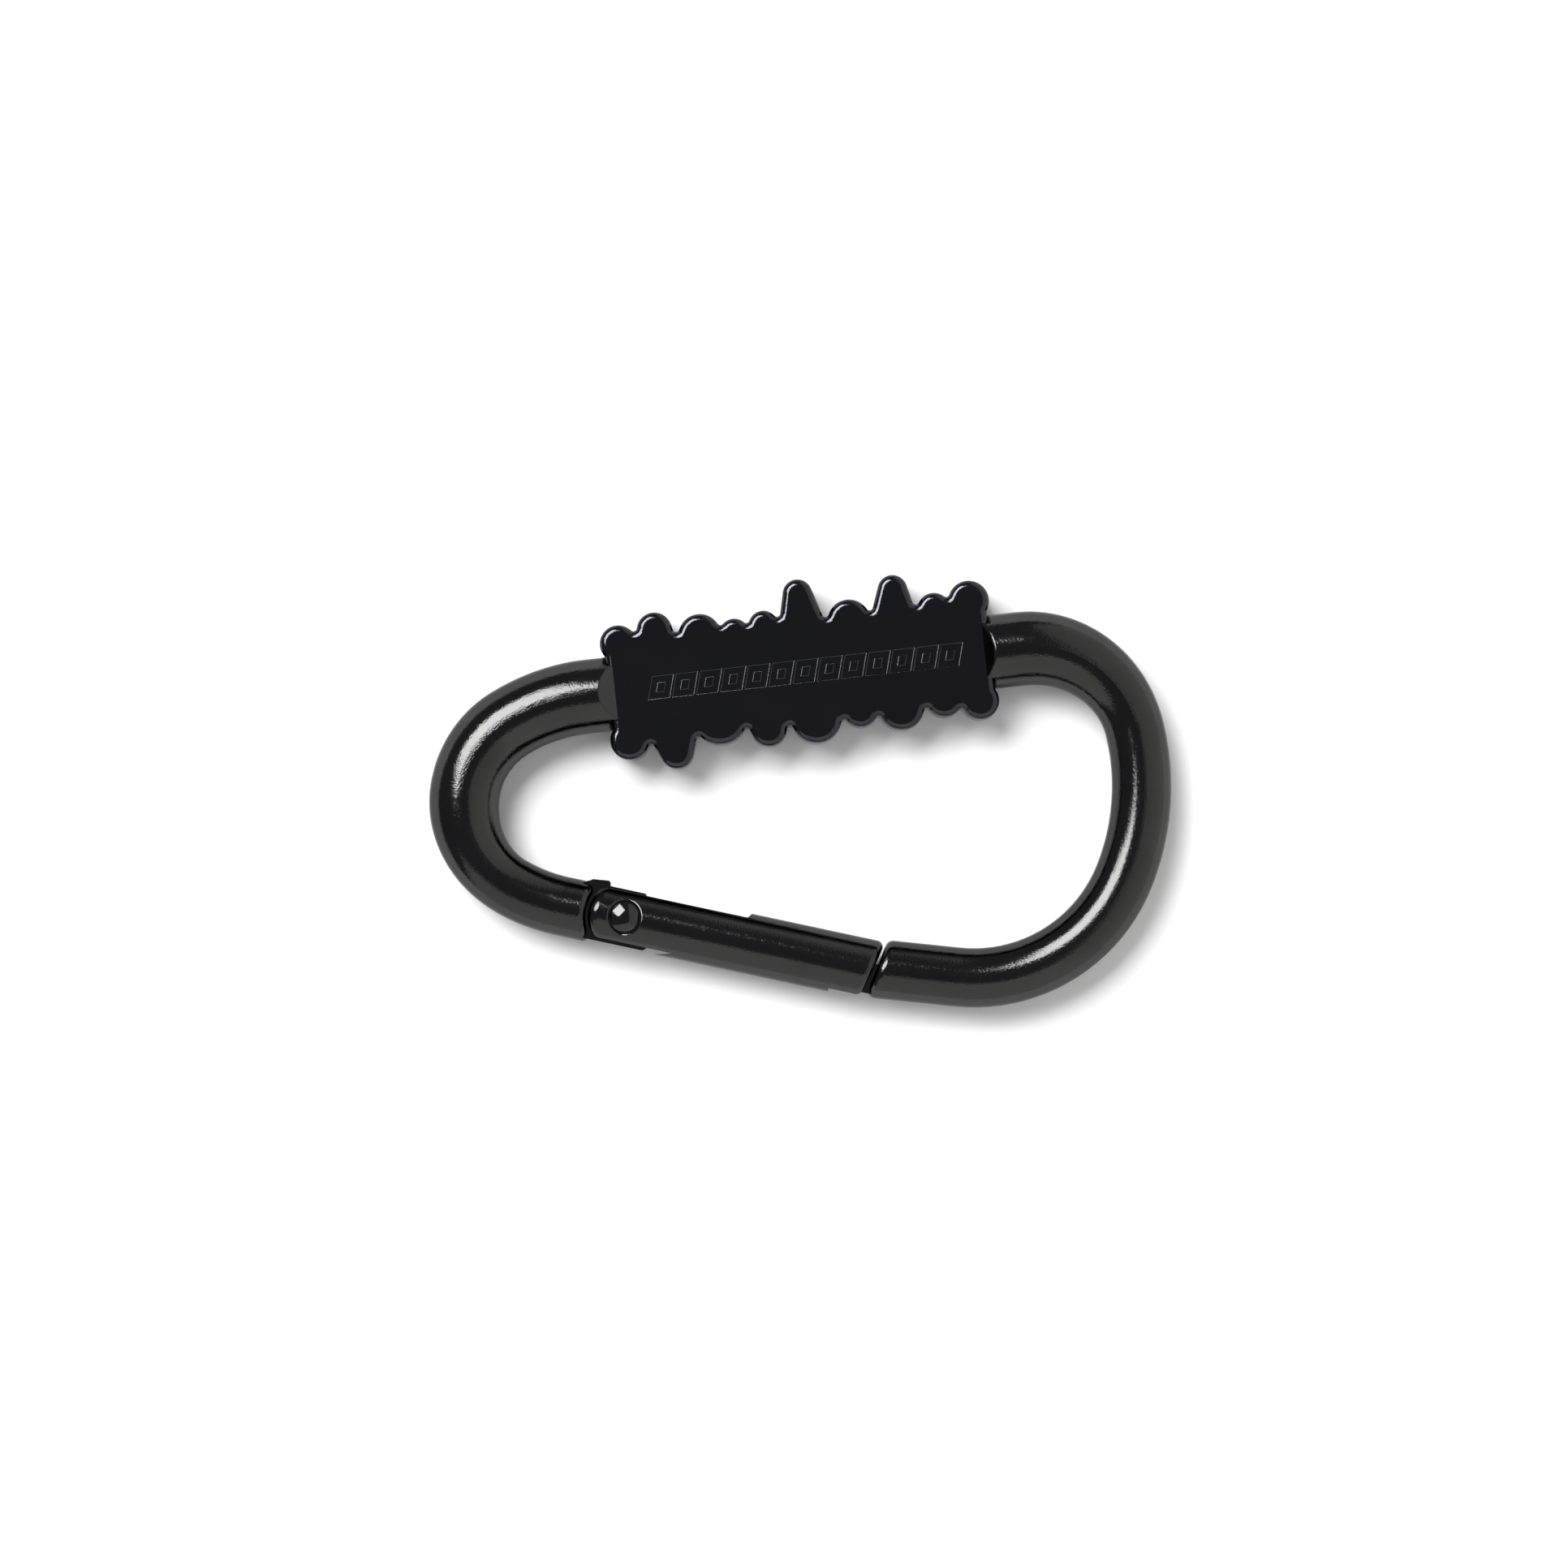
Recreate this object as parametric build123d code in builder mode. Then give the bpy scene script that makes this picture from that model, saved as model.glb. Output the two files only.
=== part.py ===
"""Carabiner keyring: bent rod frame, sprung gate on a riveted hinge, lobed badge clamped on the spine.

Units are millimetres. X runs along the spine and the badge, Y from the gate side to the badge side,
Z is up. The origin is the middle of the outline, on the surface that the carabiner lies on.
"""
from build123d import *
from math import asin, atan2, cos, hypot, radians, sin
import os

# ---------------------------------------------------------------- driving dimensions
SPINE_R = 4.0  # rod radius along the spine
MID_Z = SPINE_R  # height of the plane that halves the whole carabiner
SPINE_Y = 14.0  # the spine's centre line

# each bend is a run of arcs: bend radius, degrees turned, rod radius at its end
RIGHT_STRAIGHT_X = 25.2  # where the spine stops being straight on the nose's side
RIGHT_ARCS = ((11.45, 83.0, 3.2), (26.1, 35.3, 3.2), (17.45, 73.9, 3.2))
NOSE_STRAIGHT = 12.0  # straight run at the nose, before its end is cut
LEFT_STRAIGHT_X = -21.6  # and on the hinge's side
LEFT_ARCS = ((20.5, 25.1, 3.9), (10.25, 50.0, 3.8), (10.25, 68.5, 3.25), (18.3, 18.05, 3.22))
HINGE_STRAIGHT = 5.0  # straight run that the hinge shoulder is cut in
TAPER_SECTIONS = 4  # sections that set the taper of one arc

# the gate, laid out from its pivot: x along the gate, y towards the inside of the loop
PIVOT = (-20.2, -10.1)
GATE_ANGLE = -18.35  # degrees from +X
GATE_R = 3.25
GATE_INNER_LENGTH = 27.95  # pivot to the end face, on the inner side
GATE_OUTER_LENGTH = 26.35  # and on the outer side: the end face leans
EAR_END_R = 3.95  # the hinge ears end in an arc about the pivot
SHOULDER_R = 4.25  # the frame's hollow shoulder around the ears
SHOULDER_EDGE = 0.7  # rounding of the shoulder's rim
EAR_EDGE = 1.0  # rounding of the ears' ends
GATE_EDGE = 0.7  # rounding of the gate's end face

TONGUE_HALF = 1.4  # half the thickness of the frame's hinge tongue
SLOT_HALF = 1.5  # half the width of the slots sawn in the gate
TONGUE_END_X = 3.1  # the tongue reaches past the pivot, under the outer edge of the ears
TONGUE_BOTTOM = -3.1
TONGUE_CORNER = 0.5
TONGUE_TOP = 2.95  # inner edge of the tongue between the ears
LUG_TOP = 3.5  # the lug at the tongue's root stands just proud of the rod
HINGE_SLOT_OUTER_X = 3.7  # where the hinge slot ends on the outer side
SLOT_EDGE = 0.2  # rounding of the slot's lips on the inner side
SAW_R = 15.0  # the saw that cuts the hinge slot
SAW_CENTRE = (0.69, 11.44)

RIVET_R = 1.0
RIVET_CLEARANCE = 0.05  # running fit of the rivet in the tongue
RIVET_HEAD_R = 1.55
RIVET_HEAD_EDGE = 0.6  # straight edge of the head, below its dome
RIVET_HEAD_TOP = 3.2  # height of the domed head above the middle plane
COUNTERBORE_R = 1.7
COUNTERBORE_FLOOR = 2.2
COUNTERBORE_EDGE = 0.22  # rounding of its rim

# the return spring and its plunger, in a bore along the gate
PLUNGER_Y = 1.4  # offset of the bore from the pivot, so the spring shuts the gate
PLUNGER_R = 1.1
PLUNGER_TIP_X = 2.2  # where the tip meets the heel of the tongue, gate shut
PLUNGER_TIP_GAP = 0.05
PLUNGER_SHOULDER_X = 14.2
PLUNGER_TAIL_R = 0.5
PLUNGER_TAIL_X = 19.72  # the tail meets the end of the bore when the gate is fully open
BORE_R = 1.2
BORE_START_X = 8.0
BORE_END_X = 20.6
GATE_OPEN = 34.0  # degrees
SPRING_WIRE_R = 0.15
SPRING_MEAN_R = 0.9
SPRING_TURNS = 8

# the nose: its end leans like the gate's, and a blade on it fills the gate's end slot
NOSE_FACE_X = 27.5  # where the end face crosses the gate's axis
NOSE_LEAN = 10.0  # degrees
NOSE_EDGE = 0.85
NOSE_SLOT_X = 22.95
NOSE_SLOT_TOP = 1.0
BLADE_TIP_X = 23.6
BLADE_TOP = 0.75
BLADE_BOTTOM = -2.55
BLADE_HALF = 1.25
BLADE_CORNER = 0.5

# the badge: two shells clamped over a flat on the spine
BADGE_LEFT = -19.3  # the end edges, between the corner lobes
BADGE_RIGHT = 22.0
BADGE_HALF_HEIGHT = 4.7  # the plain plate under the lobes
LOBE_BASE = 5.6  # the lobes' root circles reach this far from the spine's centre line
BADGE_CORNER = 0.5
SHELL_THICK = 2.7
BADGE_RIM = 0.75  # rounding around the outer face
CORE_HALF = 1.3  # half the thickness of the flat on the spine
CORE_HALF_WIDTH = 4.0
CHANNEL_CLEARANCE = 0.04
STEP_REACH = 0.75  # the rod's ends reach this far over the badge's end edges
STEP_HALF_WIDTH = 2.95
STEP_CLEARANCE = 0.04
LEFT_SLOPE = 1.75  # length of the slope from the rod down to the badge face
RIGHT_SLOPE = 1.05
SLOPE_EDGE = 0.3  # rounding where each slope meets the rod
VALLEY_R = 0.35  # rounding of the valleys between lobes
# lobes along the upper edge: x, reach beyond the edge, sideways lean, root radius, tip radius
UPPER_LOBES = (
    (-16.7, 1.55, -1.0, 1.9, 2.0),
    (-13.7, 2.5, 0.0, 2.7, 1.9),
    (-9.1, 1.8, 0.2, 3.0, 2.3),
    (-5.2, 0.9, 0.0, 2.1, 1.6),
    (-2.0, 1.4, 0.0, 2.3, 1.6),
    (2.2, 4.35, -0.2, 3.1, 1.6),
    (7.0, 1.6, 0.2, 3.0, 2.3),
    (11.9, 3.7, 0.3, 3.1, 1.6),
    (16.4, 1.3, 0.0, 2.5, 1.8),
    (19.2, 2.2, 1.0, 2.1, 2.2),
)
LOWER_LOBES = (
    (-16.6, 1.8, -1.0, 2.0, 2.1),
    (-13.0, 3.3, 0.3, 3.5, 1.8),
    (-7.7, 1.2, 0.0, 3.3, 3.0),
    (-2.7, 2.0, 0.1, 2.8, 1.9),
    (2.3, 2.2, 0.3, 3.7, 2.7),
    (7.4, 1.0, 0.0, 2.4, 1.9),
    (11.8, 1.8, 0.0, 3.4, 2.4),
    (16.4, 0.9, 0.1, 2.6, 2.0),
    (19.3, 1.6, 1.0, 1.9, 2.0),
)
# the row of plain slanted marks sunk into the badge face
MARK_COUNT = 13
MARK_PITCH = 2.6
MARK_ROW_X = 1.95
MARK_HEIGHT = 2.25
MARK_WIDTH = 2.1
MARK_LEAN = 0.32
MARK_LINE = 0.52
MARK_DEPTH = 0.32
MARK_EDGE = 0.15  # rounding of the marks' upper edges

PIN_R = 1.0
PIN_XS = (-14.0, 16.5)
PIN_REACH = 0.8  # how far each pin goes into each shell beyond the flat

# ---------------------------------------------------------------- frames of reference
gate_plane = Plane(
    origin=(PIVOT[0], PIVOT[1], MID_Z),
    x_dir=(cos(radians(GATE_ANGLE)), sin(radians(GATE_ANGLE)), 0),
    z_dir=(0, 0, 1),
)


def gate_section(along, across=0.0):
    """A plane square to the gate, facing away from the hinge."""
    return Plane(
        origin=gate_plane.from_local_coords((along, across, 0)),
        x_dir=(0, 0, 1),
        z_dir=gate_plane.x_dir,
    )


def heel_point(angle):
    """A point of the heel that pushes the plunger by the same amount for each degree of swing."""
    reach = PLUNGER_TIP_X + PLUNGER_Y * radians(angle)
    turned = radians(angle) + atan2(PLUNGER_Y, reach)
    distance = hypot(reach, PLUNGER_Y)
    return (distance * cos(turned), distance * sin(turned))


def bent_rod(start_x, heading, arcs, turn, straight):
    """One bend of the frame: arcs that follow on from each other, then a straight end."""
    point = Vector(start_x, SPINE_Y, MID_Z)
    direction = Vector(heading, 0, 0)
    rod_r = SPINE_R
    with BuildPart() as rod:
        for bend_r, swept, end_r in arcs:
            sections = 1 if end_r == rod_r else TAPER_SECTIONS + 1
            with BuildLine() as path:
                arc = JernArc(point, direction, bend_r, turn * swept)
            for step in range(sections):
                share = step / TAPER_SECTIONS
                eased = share ** 2 * (3 - 2 * share)
                with BuildSketch(Plane(origin=arc @ share, x_dir=(0, 0, 1), z_dir=arc % share)):
                    Circle(rod_r + (end_r - rod_r) * eased)
            sweep(path=path.wires()[0], multisection=sections > 1)
            point = arc @ 1
            direction = arc % 1
            rod_r = end_r
        with BuildSketch(Plane(origin=point, x_dir=(0, 0, 1), z_dir=direction)):
            Circle(rod_r)
        extrude(amount=straight)
    return rod.part


def sharp_corners(sketch):
    """The outline's corners where two edges meet at an angle: the valleys between the lobes."""
    corners = []
    for corner in sketch.vertices():
        directions = []
        for edge in sketch.edges():
            for end in (0, 1):
                if (edge @ end - Vector(corner)).length < 1e-4:
                    directions.append(edge % end)
        if len(directions) == 2 and abs(directions[0].dot(directions[1])) < 0.97:
            corners.append(corner)
    return corners


def lobed_outline():
    """The badge outline: a plain plate with rounded lobes along both long edges."""
    with BuildSketch() as outline:
        middle_x = (BADGE_LEFT + BADGE_RIGHT) / 2
        with Locations((middle_x, SPINE_Y)):
            RectangleRounded(BADGE_RIGHT - BADGE_LEFT, 2 * BADGE_HALF_HEIGHT, BADGE_CORNER)
        for side, lobes in ((1, UPPER_LOBES), (-1, LOWER_LOBES)):
            edge_y = SPINE_Y + side * LOBE_BASE
            for lobe_x, reach, lean, root_r, tip_r in lobes:
                with BuildSketch(mode=Mode.PRIVATE) as lobe:
                    with Locations((lobe_x, edge_y - side * root_r)):
                        Circle(root_r)
                    with Locations((lobe_x + lean, edge_y + side * (reach - tip_r))):
                        Circle(tip_r)
                    make_hull()
                add(lobe.sketch)
    return outline.sketch


def lobed_plate(bottom, outer_face):
    """A shell before its channel is cut: rounded valleys between its lobes, rounded outer rim."""
    valleys = sharp_corners(badge_outline)
    with BuildPart() as plate:
        with BuildSketch(Plane.XY.offset(bottom)):
            add(badge_outline)
        extrude(amount=SHELL_THICK)
        valley_edges = []
        for edge in plate.edges().filter_by(Axis.Z):
            foot = Vector(edge.center().X, edge.center().Y, 0)
            if any((foot - Vector(valley)).length < 1e-3 for valley in valleys):
                valley_edges.append(edge)
        fillet(valley_edges, VALLEY_R)
        fillet(plate.faces().sort_by(Axis.Z)[outer_face].edges(), BADGE_RIM)
        # notches for the steps at the ends of the spine's flat
        with BuildSketch(Plane.XY.offset(bottom)):
            for end_x in (BADGE_LEFT, BADGE_RIGHT):
                with Locations((end_x, SPINE_Y)):
                    Rectangle(2 * STEP_REACH, 2 * (STEP_HALF_WIDTH + STEP_CLEARANCE))
        extrude(amount=SHELL_THICK, mode=Mode.SUBTRACT)
    return plate.part


right_bend = bent_rod(RIGHT_STRAIGHT_X, 1, RIGHT_ARCS, -1, NOSE_STRAIGHT)
left_bend = bent_rod(LEFT_STRAIGHT_X, -1, LEFT_ARCS, 1, HINGE_STRAIGHT)
badge_outline = lobed_outline()

# ---------------------------------------------------------------- frame
with BuildPart() as frame:
    with BuildSketch(Plane(origin=(LEFT_STRAIGHT_X, SPINE_Y, MID_Z), x_dir=(0, 1, 0), z_dir=(1, 0, 0))):
        Circle(SPINE_R)
    extrude(amount=RIGHT_STRAIGHT_X - LEFT_STRAIGHT_X)
    add(right_bend)
    add(left_bend)

    # the hollow shoulder that the gate's ears turn in
    with BuildSketch(gate_plane.offset(-SPINE_R - 1)):
        Circle(SHOULDER_R)
    extrude(amount=2 * SPINE_R + 2, mode=Mode.SUBTRACT)
    shoulder_middle = gate_plane.from_local_coords((-SHOULDER_R, 0, 0))
    shoulder_face = frame.faces().sort_by_distance(shoulder_middle)[0]
    fillet(shoulder_face.edges(), SHOULDER_EDGE)

    # the nose is cut on the lean, and its edge is rounded
    lean_shift = 10 * sin(radians(NOSE_LEAN)) / cos(radians(NOSE_LEAN))
    with BuildSketch(gate_plane.offset(-SPINE_R - 1)):
        Polygon(
            (NOSE_FACE_X - lean_shift, -10),
            (NOSE_FACE_X + lean_shift, 10),
            (10, 10),
            (10, -10),
            align=None,
        )
    extrude(amount=2 * SPINE_R + 2, mode=Mode.SUBTRACT)
    nose_centre = gate_plane.from_local_coords((NOSE_FACE_X, 0, 0))
    nose_face = frame.faces().sort_by_distance(nose_centre)[0]
    fillet(nose_face.edges(), NOSE_EDGE)

    # the blade on the nose
    with BuildSketch(gate_plane.offset(-BLADE_HALF)):
        Polygon(
            (BLADE_TIP_X, BLADE_BOTTOM),
            (NOSE_FACE_X + 1.5, BLADE_BOTTOM),
            (NOSE_FACE_X + 1.5, BLADE_TOP),
            (BLADE_TIP_X, BLADE_TOP),
            align=None,
        )
    extrude(amount=2 * BLADE_HALF)
    blade_tip = gate_plane.from_local_coords((BLADE_TIP_X, 0, 0))
    blade_edges = frame.edges().filter_by(Axis.Z).sort_by_distance(blade_tip)[0:2]
    fillet(blade_edges, BLADE_CORNER)

    # the hinge tongue, its heel and its lug
    with BuildSketch(gate_plane.offset(-TONGUE_HALF)):
        with BuildLine():
            heel = Spline(*[heel_point(angle) for angle in (-18, -5, 8, 21, GATE_OPEN)])
            heel_foot = heel @ 0
            foot_y = 0.12
            foot = Line(heel_foot, (heel_foot.X - 0.05, foot_y))
            Polyline(
                foot @ 1,
                (TONGUE_END_X, foot_y),
                (TONGUE_END_X, TONGUE_BOTTOM + TONGUE_CORNER),
                (TONGUE_END_X - TONGUE_CORNER, TONGUE_BOTTOM),
                (-6.5, TONGUE_BOTTOM),
                (-6.5, LUG_TOP - 1.5),
                (-4.5, LUG_TOP - 0.4),
                (-4.2, LUG_TOP - 0.2),
                (-2.5, LUG_TOP),
                (-2.3, LUG_TOP - 0.15),
                (-2.2, TONGUE_TOP),
                ((heel @ 1).X - 0.12, TONGUE_TOP),
                heel @ 1,
            )
        make_face()
    extrude(amount=2 * TONGUE_HALF)
    with BuildSketch(gate_plane.offset(-TONGUE_HALF - 1)):
        Circle(RIVET_R + RIVET_CLEARANCE)
    extrude(amount=2 * TONGUE_HALF + 2, mode=Mode.SUBTRACT)

    # the flat on the spine, with sloped ends, on both sides
    step_left = BADGE_LEFT + STEP_REACH - STEP_CLEARANCE
    step_right = BADGE_RIGHT - STEP_REACH + STEP_CLEARANCE
    for side in (1, -1):
        section = Plane(origin=(0, SPINE_Y - 2 * SPINE_R, MID_Z), x_dir=(1, 0, 0), z_dir=(0, 1, 0))
        # this plane's y points down, so heights change sign
        with BuildSketch(section):
            Polygon(
                (step_left, -side * CORE_HALF),
                (step_left, -side * SHELL_THICK),
                (step_left - LEFT_SLOPE, -side * (SPINE_R + 0.02)),
                (step_right + RIGHT_SLOPE, -side * (SPINE_R + 0.02)),
                (step_right, -side * SHELL_THICK),
                (step_right, -side * CORE_HALF),
                align=None,
            )
        extrude(amount=4 * SPINE_R, mode=Mode.SUBTRACT)
        # the steps' flanks stand clear of the shells' notches
        with BuildSketch(Plane.XY.offset(MID_Z + side * CORE_HALF)):
            for step_x in (BADGE_LEFT + STEP_REACH / 2, BADGE_RIGHT - STEP_REACH / 2):
                for flank in (1, -1):
                    with Locations((step_x, SPINE_Y + flank * (STEP_HALF_WIDTH + SPINE_R / 2))):
                        Rectangle(STEP_REACH + 2 * STEP_CLEARANCE, SPINE_R)
        extrude(amount=side * SPINE_R, mode=Mode.SUBTRACT)
    for slope_x in (step_left - LEFT_SLOPE / 2, step_right + RIGHT_SLOPE / 2):
        for side in (1, -1):
            slope_middle = (slope_x, SPINE_Y, MID_Z + side * (SPINE_R + SHELL_THICK) / 2)
            slope = frame.faces().sort_by_distance(slope_middle)[0]
            fillet(slope.edges().filter_by(GeomType.ELLIPSE), SLOPE_EDGE)
    with BuildSketch(Plane.XY.offset(MID_Z - SPINE_R)):
        with Locations(*[(pin_x, SPINE_Y) for pin_x in PIN_XS]):
            Circle(PIN_R)
    extrude(amount=2 * SPINE_R, mode=Mode.SUBTRACT)

# ---------------------------------------------------------------- badge shells
channel_middle = ((BADGE_LEFT + BADGE_RIGHT) / 2, SPINE_Y)
channel_size = (BADGE_RIGHT - BADGE_LEFT + 10, 2 * (CORE_HALF_WIDTH + CHANNEL_CLEARANCE))

with BuildPart() as badge_face:
    add(lobed_plate(MID_Z, -1))
    with BuildSketch(Plane.XY.offset(MID_Z)):
        with Locations(channel_middle):
            Rectangle(*channel_size)
    extrude(amount=CORE_HALF, mode=Mode.SUBTRACT)
    with BuildSketch(Plane.XY.offset(MID_Z)):
        with Locations(*[(pin_x, SPINE_Y) for pin_x in PIN_XS]):
            Circle(PIN_R)
    extrude(amount=CORE_HALF + PIN_REACH + 0.05, mode=Mode.SUBTRACT)
    # each mark is a sunken slanted outline around a raised middle
    with BuildSketch(Plane.XY.offset(MID_Z + SHELL_THICK)):
        for index in range(MARK_COUNT):
            mark_x = MARK_ROW_X + (index - (MARK_COUNT - 1) / 2) * MARK_PITCH
            for inset, how in ((0.0, Mode.ADD), (MARK_LINE, Mode.SUBTRACT)):
                half_w = MARK_WIDTH / 2 - inset
                half_h = MARK_HEIGHT / 2 - inset
                lean = MARK_LEAN * half_h / (MARK_HEIGHT / 2)
                with Locations((mark_x, SPINE_Y)):
                    Polygon(
                        (-half_w - lean, -half_h),
                        (half_w - lean, -half_h),
                        (half_w + lean, half_h),
                        (-half_w + lean, half_h),
                        align=None,
                        mode=how,
                    )
    extrude(amount=-MARK_DEPTH, mode=Mode.SUBTRACT)
    row_half_length = MARK_COUNT * MARK_PITCH / 2
    mark_edges = []
    for edge in badge_face.edges().filter_by(GeomType.LINE):
        offset = edge.center() - Vector(MARK_ROW_X, SPINE_Y, MID_Z + SHELL_THICK)
        if abs(offset.X) < row_half_length and abs(offset.Y) < MARK_HEIGHT and abs(offset.Z) < 1e-4:
            mark_edges.append(edge)
    fillet(mark_edges, MARK_EDGE)

with BuildPart() as badge_back:
    add(lobed_plate(MID_Z - SHELL_THICK, 0))
    with BuildSketch(Plane.XY.offset(MID_Z - CORE_HALF)):
        with Locations(channel_middle):
            Rectangle(*channel_size)
    extrude(amount=CORE_HALF, mode=Mode.SUBTRACT)
    with BuildSketch(Plane.XY.offset(MID_Z - CORE_HALF - PIN_REACH - 0.05)):
        with Locations(*[(pin_x, SPINE_Y) for pin_x in PIN_XS]):
            Circle(PIN_R)
    extrude(amount=CORE_HALF + PIN_REACH + 0.05, mode=Mode.SUBTRACT)


def badge_pin(pin_x):
    """A dowel through the flat on the spine, pressed into both shells."""
    half_length = CORE_HALF + PIN_REACH
    with BuildPart() as pin:
        with BuildSketch(Plane.XY.offset(MID_Z - half_length)):
            with Locations((pin_x, SPINE_Y)):
                Circle(PIN_R)
        extrude(amount=2 * half_length)
        chamfer(pin.edges().filter_by(GeomType.CIRCLE), 0.15)
    return pin.part


# ---------------------------------------------------------------- gate
with BuildPart() as gate:
    with BuildSketch(gate_section(-EAR_END_R)):
        Circle(GATE_R)
    extrude(amount=EAR_END_R + GATE_INNER_LENGTH + 1)
    lean_rate = (GATE_INNER_LENGTH - GATE_OUTER_LENGTH) / (2 * GATE_R)
    with BuildSketch(gate_plane.offset(-GATE_R)):
        Circle(EAR_END_R)
        Polygon(
            (0, -GATE_R - 0.5),
            (GATE_OUTER_LENGTH - 0.5 * lean_rate, -GATE_R - 0.5),
            (GATE_INNER_LENGTH + 0.5 * lean_rate, GATE_R + 0.5),
            (0, GATE_R + 0.5),
            align=None,
        )
    extrude(amount=2 * GATE_R, mode=Mode.INTERSECT)
    end_centre = gate_plane.from_local_coords(((GATE_INNER_LENGTH + GATE_OUTER_LENGTH) / 2, 0, 0))
    end_face = gate.faces().sort_by_distance(end_centre)[0]
    fillet(end_face.edges(), GATE_EDGE)
    ear_middle = gate_plane.from_local_coords((-EAR_END_R, 0, 0))
    ear_face = gate.faces().sort_by_distance(ear_middle)[0]
    fillet(ear_face.edges(), EAR_EDGE)

    # the counterbores for the rivet's two heads
    for side in (1, -1):
        with BuildSketch(gate_plane.offset(side * COUNTERBORE_FLOOR)):
            Circle(COUNTERBORE_R)
        extrude(amount=side * (GATE_R - COUNTERBORE_FLOOR + 0.5), mode=Mode.SUBTRACT)
        wall_point = (COUNTERBORE_R, 0, side * (COUNTERBORE_FLOOR + 0.1))
        wall = gate.faces().sort_by_distance(gate_plane.from_local_coords(wall_point))[0]
        rim = [edge for edge in wall.edges() if edge.geom_type not in (GeomType.CIRCLE, GeomType.LINE)]
        fillet(rim, COUNTERBORE_EDGE)

    # the hinge slot: square through at the ears, and a saw's arc beyond them
    with BuildSketch(gate_plane.offset(-SLOT_HALF)):
        with Locations((HINGE_SLOT_OUTER_X / 2 - 3, 0)):
            Rectangle(HINGE_SLOT_OUTER_X + 6, 2 * GATE_R + 2)
        with Locations(SAW_CENTRE):
            Circle(SAW_R)
    extrude(amount=2 * SLOT_HALF, mode=Mode.SUBTRACT)
    for side in (1, -1):
        lip_middle = gate_plane.from_local_coords((9.0, GATE_R, side * SLOT_HALF))
        lip = gate.edges().filter_by(GeomType.LINE).sort_by_distance(lip_middle)[0]
        fillet(lip, SLOT_EDGE)

    # the slot in the nose end, open towards the outside
    slot_length = GATE_INNER_LENGTH + 2 - NOSE_SLOT_X
    slot_depth = NOSE_SLOT_TOP + GATE_R + 1
    with BuildSketch(gate_plane.offset(-SLOT_HALF)):
        with Locations((NOSE_SLOT_X + slot_length / 2, NOSE_SLOT_TOP - slot_depth / 2)):
            Rectangle(slot_length, slot_depth)
    extrude(amount=2 * SLOT_HALF, mode=Mode.SUBTRACT)

    # the bore for the plunger and its spring
    with BuildSketch(gate_section(BORE_START_X, PLUNGER_Y)):
        Circle(BORE_R)
    extrude(amount=BORE_END_X - BORE_START_X, mode=Mode.SUBTRACT)

    # the rivet hole through both ears
    with BuildSketch(gate_plane.offset(-GATE_R)):
        Circle(RIVET_R)
    extrude(amount=2 * GATE_R, mode=Mode.SUBTRACT)

# ---------------------------------------------------------------- hinge rivet
with BuildPart() as hinge_rivet:
    with BuildSketch(gate_plane.offset(-COUNTERBORE_FLOOR)):
        Circle(RIVET_R)
    extrude(amount=2 * COUNTERBORE_FLOOR)
    dome_height = RIVET_HEAD_TOP - COUNTERBORE_FLOOR - RIVET_HEAD_EDGE
    dome_r = (dome_height ** 2 + RIVET_HEAD_R ** 2) / (2 * dome_height)
    half_angle = asin(RIVET_HEAD_R / dome_r) / 2
    dome_section = Plane(origin=gate_plane.origin, x_dir=(1, 0, 0), z_dir=(0, -1, 0))
    for side in (1, -1):
        bottom = (RIVET_HEAD_R, side * COUNTERBORE_FLOOR)
        rim = (RIVET_HEAD_R, side * (COUNTERBORE_FLOOR + RIVET_HEAD_EDGE))
        middle = (dome_r * sin(half_angle), side * (RIVET_HEAD_TOP - dome_r * (1 - cos(half_angle))))
        top = (0, side * RIVET_HEAD_TOP)
        with BuildSketch(dome_section):
            with BuildLine():
                Polyline(top, (0, 0), (RIVET_R / 2, 0), (RIVET_R / 2, bottom[1]), bottom, rim)
                ThreePointArc(rim, middle, top)
            make_face()
        revolve(axis=Axis(gate_plane.origin, (0, 0, 1)))

# ---------------------------------------------------------------- plunger and spring
with BuildPart() as spring_plunger:
    tip_x = PLUNGER_TIP_X + PLUNGER_TIP_GAP
    with BuildSketch(gate_section(tip_x, PLUNGER_Y)):
        Circle(PLUNGER_R)
    extrude(amount=PLUNGER_SHOULDER_X - tip_x)
    tip_edge = spring_plunger.edges().sort_by_distance(gate_plane.origin)[0]
    fillet(tip_edge, 0.5)
    with BuildSketch(gate_section(PLUNGER_SHOULDER_X, PLUNGER_Y)):
        Circle(PLUNGER_TAIL_R)
    extrude(amount=PLUNGER_TAIL_X - PLUNGER_SHOULDER_X)

with BuildPart() as return_spring:
    spring_start = PLUNGER_SHOULDER_X + SPRING_WIRE_R + 0.02
    spring_length = BORE_END_X - PLUNGER_SHOULDER_X - 2 * SPRING_WIRE_R - 0.04
    with BuildLine() as coil:
        Helix(
            pitch=spring_length / SPRING_TURNS,
            height=spring_length,
            radius=SPRING_MEAN_R,
            center=gate_plane.from_local_coords((spring_start, PLUNGER_Y, 0)),
            direction=gate_plane.x_dir,
        )
    coil_wire = coil.wires()[0]
    with BuildSketch(Plane(origin=coil_wire @ 0, z_dir=coil_wire % 0)):
        Circle(SPRING_WIRE_R)
    sweep(path=coil_wire, is_frenet=True)

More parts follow.
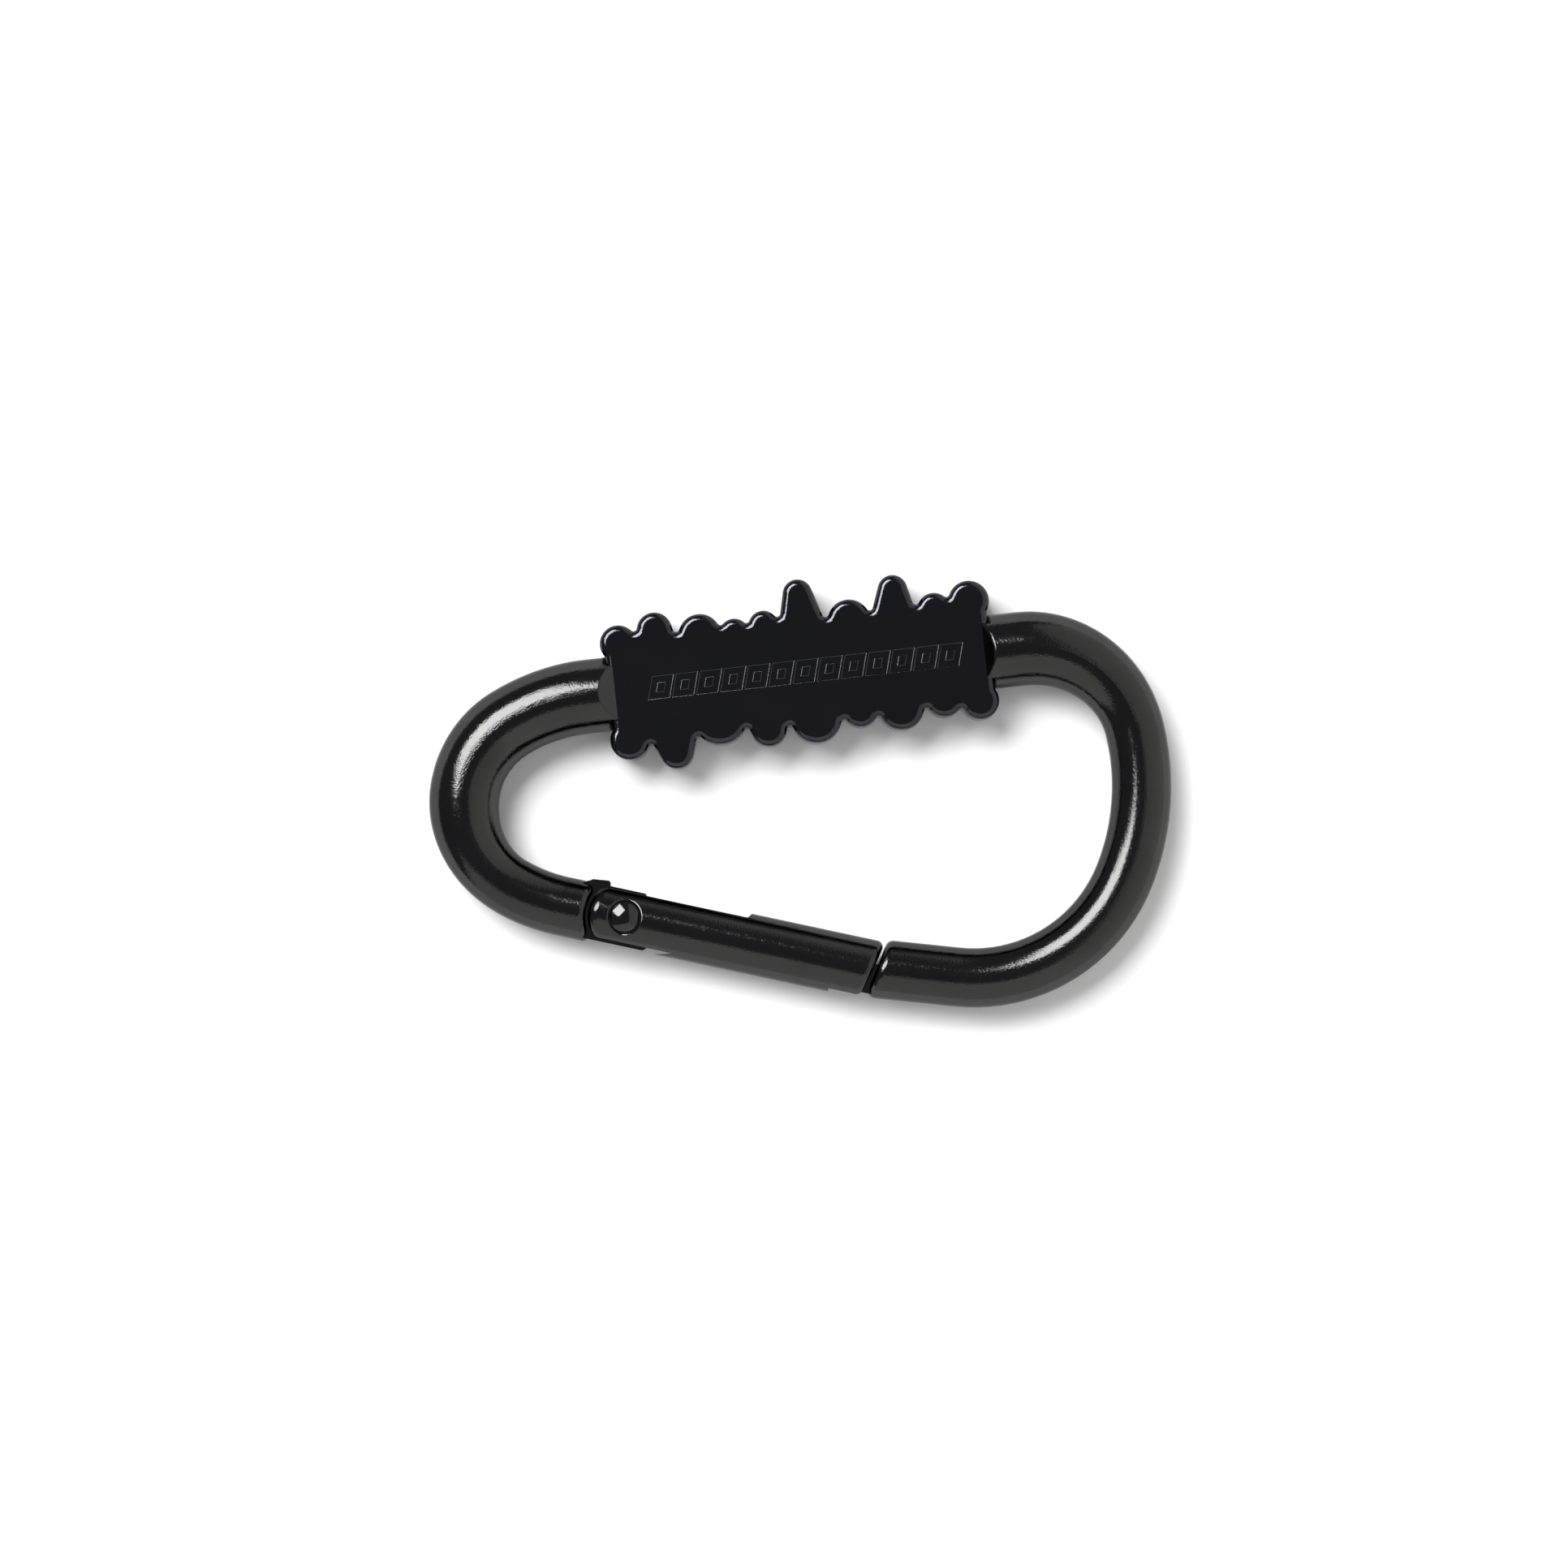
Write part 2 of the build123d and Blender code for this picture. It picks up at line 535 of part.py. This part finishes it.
# ---------------------------------------------------------------- export
os.makedirs("parts", exist_ok=True)
pieces = {
    "frame": frame.part,
    "badge_face": badge_face.part,
    "badge_back": badge_back.part,
    "badge_pin_left": badge_pin(PIN_XS[0]),
    "badge_pin_right": badge_pin(PIN_XS[1]),
    "gate": gate.part,
    "hinge_rivet": hinge_rivet.part,
    "spring_plunger": spring_plunger.part,
    "return_spring": return_spring.part,
}
for name, piece in pieces.items():
    piece.label = name
    export_step(piece, f"parts/{name}.step")
    box = piece.bounding_box()
    print(name, len(piece.solids()), piece.is_valid, round(piece.volume, 2), box.min, box.max)
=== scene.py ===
from math import cos, pi, radians, sin

import bpy
from mathutils import Matrix, Vector


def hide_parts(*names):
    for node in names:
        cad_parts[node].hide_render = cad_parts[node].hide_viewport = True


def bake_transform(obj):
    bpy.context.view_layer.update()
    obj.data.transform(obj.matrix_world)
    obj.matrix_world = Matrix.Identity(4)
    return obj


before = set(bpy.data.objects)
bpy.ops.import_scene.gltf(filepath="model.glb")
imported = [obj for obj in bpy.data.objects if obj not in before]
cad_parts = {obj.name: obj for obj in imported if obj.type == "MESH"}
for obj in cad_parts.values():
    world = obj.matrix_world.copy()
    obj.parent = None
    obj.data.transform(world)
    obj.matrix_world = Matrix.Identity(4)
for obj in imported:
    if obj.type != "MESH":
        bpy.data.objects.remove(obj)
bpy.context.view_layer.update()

MM = 0.001

# the picture: where the camera stands, and which way up the object lies in it
ROLL = 6.3  # degrees that the spine rises to the right in the picture
TILT = 2.0  # degrees that the camera leans towards the gate side
VIEW_WIDTH = 168.9 * MM  # what the picture spans at the object's middle plane
FOCAL = 100.0  # millimetres, like the sensor's width
SENSOR = 36.0
CAMERA_AIM = Vector((0.0, 0.0, 4.0 * MM))
CAMERA_OFFSET = (-1.9 * MM, 2.1 * MM)  # picture centre, measured from the object's middle

picture_right = Vector((cos(radians(ROLL)), -sin(radians(ROLL)), 0.0))
picture_up = Vector((sin(radians(ROLL)), cos(radians(ROLL)), 0.0))


def rgba(value, tint=(1.0, 1.0, 1.0)):
    """A grey value with a tint, as an opaque colour."""
    return (value * tint[0], value * tint[1], value * tint[2], 1.0)


def in_picture_axes(across, up, height):
    """A point given across the picture, up it and above the floor, in the frame's own axes."""
    return picture_right * across + picture_up * up + Vector((0.0, 0.0, height))


# ------------------------------------------------------------------ materials
# noise scales, in features a metre
DRIFT_SCALE = 160.0
EDGE_WEAR_AND_HIGHLIGHT_SCALE = 900.0
WAVE_SCALE = 500.0
GRAIN_SCALE = 6000.0
DRIFT = 0.07  # how far the reflectance drifts either way
EDGE_TINT = rgba(0.6)  # darkens the plating's reflections near grazing
EDGE_WIDTH = 0.25 * MM  # how far the worn plating and the painted edge highlight reach from an edge
BUMP_DEPTH = 0.02 * MM
WAVE_STRENGTH = 0.25


def noise(nodes, place, scale, detail):
    """A noise texture fixed to the object's own coordinates."""
    texture = nodes.new("ShaderNodeTexNoise")
    texture.inputs["Scale"].default_value = scale
    texture.inputs["Detail"].default_value = detail
    nodes.id_data.links.new(place.outputs["Object"], texture.inputs["Vector"])
    return texture.outputs["Fac"]


def spread(nodes, value, low, high, from_low=0.3, from_high=0.7):
    """The value's middle range, stretched over low..high."""
    span = nodes.new("ShaderNodeMapRange")
    span.inputs["From Min"].default_value = from_low
    span.inputs["From Max"].default_value = from_high
    span.inputs["To Min"].default_value = low
    span.inputs["To Max"].default_value = high
    nodes.id_data.links.new(value, span.inputs["Value"])
    return span.outputs["Result"]


def plated_metal(name, reflectance, tint, roughness, grain, edge_wear_and_highlight):
    """Polished plating: slow drift in colour, a fine satin grain, and lighter edges that are partly
    plating worn through and partly a painted edge highlight.
    """
    material = bpy.data.materials.new(name)
    material.use_nodes = True
    nodes = material.node_tree.nodes
    links = material.node_tree.links
    shader = nodes["Principled BSDF"]
    shader.inputs["Metallic"].default_value = 1.0
    shader.inputs["Specular Tint"].default_value = EDGE_TINT
    place = nodes.new("ShaderNodeTexCoord")

    drift = nodes.new("ShaderNodeValToRGB")
    drift.color_ramp.elements[0].position = 0.3
    drift.color_ramp.elements[1].position = 0.7
    drift.color_ramp.elements[0].color = rgba(reflectance * (1 - DRIFT), tint)
    drift.color_ramp.elements[1].color = rgba(reflectance * (1 + DRIFT), tint)
    links.new(noise(nodes, place, DRIFT_SCALE, 3.0), drift.inputs["Fac"])

    # an edge is where the rounded normal leaves the true one
    rounded = nodes.new("ShaderNodeBevel")
    rounded.samples = 4
    rounded.inputs["Radius"].default_value = EDGE_WIDTH
    true_normal = nodes.new("ShaderNodeNewGeometry")
    agreement = nodes.new("ShaderNodeVectorMath")
    agreement.operation = "DOT_PRODUCT"
    links.new(rounded.outputs["Normal"], agreement.inputs[0])
    links.new(true_normal.outputs["Normal"], agreement.inputs[1])
    edge = spread(nodes, agreement.outputs["Value"], 1.0, 0.0, 0.8, 0.985)
    patchy = nodes.new("ShaderNodeMath")
    patchy.operation = "MULTIPLY"
    links.new(edge, patchy.inputs[0])
    patches = noise(nodes, place, EDGE_WEAR_AND_HIGHLIGHT_SCALE, 4.0)
    links.new(spread(nodes, patches, 0.0, 1.0), patchy.inputs[1])
    # a lighter base colour along the edges: partly plating worn through, partly a painted highlight
    # standing in for edge glints
    worn_and_highlit_edge = nodes.new("ShaderNodeMixRGB")
    worn_and_highlit_edge.inputs["Color2"].default_value = rgba(edge_wear_and_highlight, tint)
    links.new(patchy.outputs["Value"], worn_and_highlit_edge.inputs["Fac"])
    links.new(drift.outputs["Color"], worn_and_highlit_edge.inputs["Color1"])
    links.new(worn_and_highlit_edge.outputs["Color"], shader.inputs["Base Color"])

    # satin grain and a little slow waviness under it
    fine = noise(nodes, place, GRAIN_SCALE, 1.0)
    links.new(spread(nodes, fine, roughness * 0.8, roughness * 1.25), shader.inputs["Roughness"])
    grain_bump = nodes.new("ShaderNodeBump")
    grain_bump.inputs["Strength"].default_value = grain
    grain_bump.inputs["Distance"].default_value = BUMP_DEPTH
    links.new(fine, grain_bump.inputs["Height"])
    wave_bump = nodes.new("ShaderNodeBump")
    wave_bump.inputs["Strength"].default_value = WAVE_STRENGTH
    wave_bump.inputs["Distance"].default_value = BUMP_DEPTH
    links.new(noise(nodes, place, WAVE_SCALE, 1.0), wave_bump.inputs["Height"])
    links.new(grain_bump.outputs["Normal"], wave_bump.inputs["Normal"])
    links.new(wave_bump.outputs["Normal"], shader.inputs["Normal"])
    return material


rod_metal = plated_metal(
    "black_nickel_rod", reflectance=0.053, tint=(1.0, 1.0, 0.99), roughness=0.1, grain=0.75, edge_wear_and_highlight=0.09
)
badge_metal = plated_metal(
    "black_nickel_badge", reflectance=0.052, tint=(0.95, 0.96, 1.1), roughness=0.09, grain=0.35, edge_wear_and_highlight=0.08
)
rivet_metal = plated_metal(
    "black_nickel_rivet", reflectance=0.06, tint=(1.0, 1.0, 1.02), roughness=0.07, grain=0.2, edge_wear_and_highlight=0.09
)
steel = plated_metal(
    "bare_steel", reflectance=0.5, tint=(1.0, 0.99, 0.97), roughness=0.3, grain=0.3, edge_wear_and_highlight=0.6
)
materials = {
    "frame": rod_metal,
    "gate": rod_metal,
    "badge_face": badge_metal,
    "badge_back": badge_metal,
    "hinge_rivet": rivet_metal,
    "badge_pin_left": steel,
    "badge_pin_right": steel,
    "spring_plunger": steel,
}
for name, material in materials.items():
    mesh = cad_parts[name].data
    mesh.materials.clear()
    mesh.materials.append(material)


# ------------------------------------------------------------------ return spring
HINGE = Vector((-20.2, -10.1, 4.0)) * MM
GATE_ANGLE = radians(-18.35)  # of the closed gate from +X
ALONG_GATE = Vector((cos(GATE_ANGLE), sin(GATE_ANGLE), 0.0))
ACROSS_GATE = Vector((-sin(GATE_ANGLE), cos(GATE_ANGLE), 0.0))
BORE_OFFSET = 1.4 * MM  # of the bore's axis from the hinge
COIL_START = 14.37 * MM  # beside the plunger's shoulder, measured from the hinge
COIL_LENGTH = 6.06 * MM  # from there to the end of the bore
COIL_RADIUS = 0.9 * MM
WIRE_RADIUS = 0.15 * MM
COIL_TURNS = 8
STEPS_A_TURN = 32
STEPS_ROUND_WIRE = 10


def coil_spring(name, start, length):
    """The spring in its bore, as a closed tube along a helix from the start."""
    upward = Vector((0.0, 0.0, 1.0))
    rings = COIL_TURNS * STEPS_A_TURN + 1
    corners = []
    for ring in range(rings):
        turn = 2 * pi * ring / STEPS_A_TURN
        outward = ACROSS_GATE * cos(turn) + upward * sin(turn)
        middle = start + ALONG_GATE * (length * ring / (rings - 1)) + outward * COIL_RADIUS
        for step in range(STEPS_ROUND_WIRE):
            round_wire = 2 * pi * step / STEPS_ROUND_WIRE
            side = outward * cos(round_wire) + ALONG_GATE * sin(round_wire)
            corners.append(middle + side * WIRE_RADIUS)
    faces = [tuple(range(STEPS_ROUND_WIRE))]
    for ring in range(rings - 1):
        for step in range(STEPS_ROUND_WIRE):
            here = ring * STEPS_ROUND_WIRE + step
            beside = ring * STEPS_ROUND_WIRE + (step + 1) % STEPS_ROUND_WIRE
            faces.append((here, here + STEPS_ROUND_WIRE, beside + STEPS_ROUND_WIRE, beside))
    last_ring = (rings - 1) * STEPS_ROUND_WIRE
    faces.append(tuple(reversed(range(last_ring, last_ring + STEPS_ROUND_WIRE))))
    mesh = bpy.data.meshes.new(name)
    mesh.from_pydata(corners, [], faces)
    mesh.shade_smooth()
    mesh.materials.append(steel)
    spring = bpy.data.objects.new(name, mesh)
    bpy.context.scene.collection.objects.link(spring)
    return spring


# the real spring shortens as the plunger moves; here the coil is fixed, from beside the plunger's
# shoulder to the end of the bore
coil_start = HINGE + ALONG_GATE * COIL_START + ACROSS_GATE * BORE_OFFSET
coil = coil_spring("coil", coil_start, COIL_LENGTH)
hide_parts("return_spring")
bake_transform(coil)


# ------------------------------------------------------------------ studio
def sheet(name, corners, faces, material):
    """A flat or folded card of the studio: it is not part of the object."""
    mesh = bpy.data.meshes.new(name)
    mesh.from_pydata(corners, [], faces)
    mesh.materials.append(material)
    card = bpy.data.objects.new(name, mesh)
    bpy.context.scene.collection.objects.link(card)
    return card


FLOOR_HALF = 3.0  # metres
paper = bpy.data.materials.new("white_paper")
paper.use_nodes = True
paper_shader = paper.node_tree.nodes["Principled BSDF"]
paper_shader.inputs["Base Color"].default_value = rgba(0.9)
paper_shader.inputs["Roughness"].default_value = 0.9
paper_shader.inputs["Specular IOR Level"].default_value = 0.0
corner_signs = ((-1, -1), (1, -1), (1, 1), (-1, 1))
floor_corners = [Vector((x * FLOOR_HALF, y * FLOOR_HALF, 0.0)) for x, y in corner_signs]
sheet("floor", floor_corners, [(0, 1, 2, 3)], paper)

# two white cards stand over the right and the lower side of the picture, and meet at a corner
CARD_LOW = 0.02  # heights of their edges above the floor, in metres
CARD_HIGH = 1.15


def glowing_card(name, corners, low_glow, high_glow):
    """A lit white card; its glow changes evenly from its lowest edge to its highest."""
    material = bpy.data.materials.new(name)
    material.use_nodes = True
    nodes = material.node_tree.nodes
    links = material.node_tree.links
    shader = nodes["Principled BSDF"]
    shader.inputs["Base Color"].default_value = rgba(0.0)
    shader.inputs["Emission Color"].default_value = rgba(1.0, (1.0, 1.0, 0.98))
    place = nodes.new("ShaderNodeTexCoord")
    split = nodes.new("ShaderNodeSeparateXYZ")
    links.new(place.outputs["Object"], split.inputs["Vector"])
    glow = spread(nodes, split.outputs["Z"], low_glow, high_glow, CARD_LOW, CARD_HIGH)
    links.new(glow, shader.inputs["Emission Strength"])
    card = sheet(name, corners, [(0, 1, 2, 3)], material)
    card.visible_camera = False


inner_corner = in_picture_axes(0.33, -0.44, CARD_HIGH)
outer_corner = in_picture_axes(1.6, -1.7, CARD_LOW)
right_ends = (in_picture_axes(1.6, 4.0, CARD_LOW), in_picture_axes(0.33, 4.0, CARD_HIGH))
lower_ends = (in_picture_axes(-1.4, -0.93, CARD_HIGH), in_picture_axes(-2.0, -1.9, CARD_LOW))
right_corners = [inner_corner, outer_corner, *right_ends]
lower_corners = [outer_corner, inner_corner, *lower_ends]
glowing_card("right_card", right_corners, low_glow=1.0, high_glow=0.6)
glowing_card("lower_card", lower_corners, low_glow=0.95, high_glow=0.85)


def area_light(name, azimuth, from_vertical, distance, size, radiance):
    """A soft lamp that faces the object; azimuth is in the picture, anticlockwise from its right."""
    light = bpy.data.lights.new(name, "AREA")
    light.shape = "RECTANGLE"
    light.size, light.size_y = size
    light.energy = radiance * size[0] * size[1] * pi
    lamp = bpy.data.objects.new(name, light)
    across = cos(radians(azimuth)) * sin(radians(from_vertical))
    up = sin(radians(azimuth)) * sin(radians(from_vertical))
    toward = in_picture_axes(across, up, cos(radians(from_vertical)))
    lamp.location = CAMERA_AIM + toward * distance
    lamp.rotation_euler = toward.to_track_quat("Z", "Y").to_euler()
    bpy.context.scene.collection.objects.link(lamp)


area_light("softbox", azimuth=134, from_vertical=35, distance=1.2, size=(0.76, 0.66), radiance=13.0)

world = bpy.data.worlds.new("studio")
world.use_nodes = True
world.node_tree.nodes["Background"].inputs["Color"].default_value = rgba(0.2, (0.96, 0.97, 1.07))
bpy.context.scene.world = world

# ------------------------------------------------------------------ camera
camera_data = bpy.data.cameras.new("camera")
camera_data.lens = FOCAL
camera_data.sensor_width = SENSOR
camera_data.clip_start = 10 * MM
camera = bpy.data.objects.new("camera", camera_data)
bpy.context.scene.collection.objects.link(camera)
back = Vector((0, 0, 1)) * cos(radians(TILT)) - picture_up * sin(radians(TILT))
true_up = back.cross(picture_right)
centre = CAMERA_AIM + picture_right * CAMERA_OFFSET[0] + picture_up * CAMERA_OFFSET[1]
eye = centre + back * (VIEW_WIDTH * FOCAL / SENSOR)
camera.matrix_world = Matrix([
    (picture_right[axis], true_up[axis], back[axis], eye[axis]) for axis in range(3)
] + [(0.0, 0.0, 0.0, 1.0)])
bpy.context.scene.camera = camera

bpy.context.scene.view_settings.view_transform = "Standard"
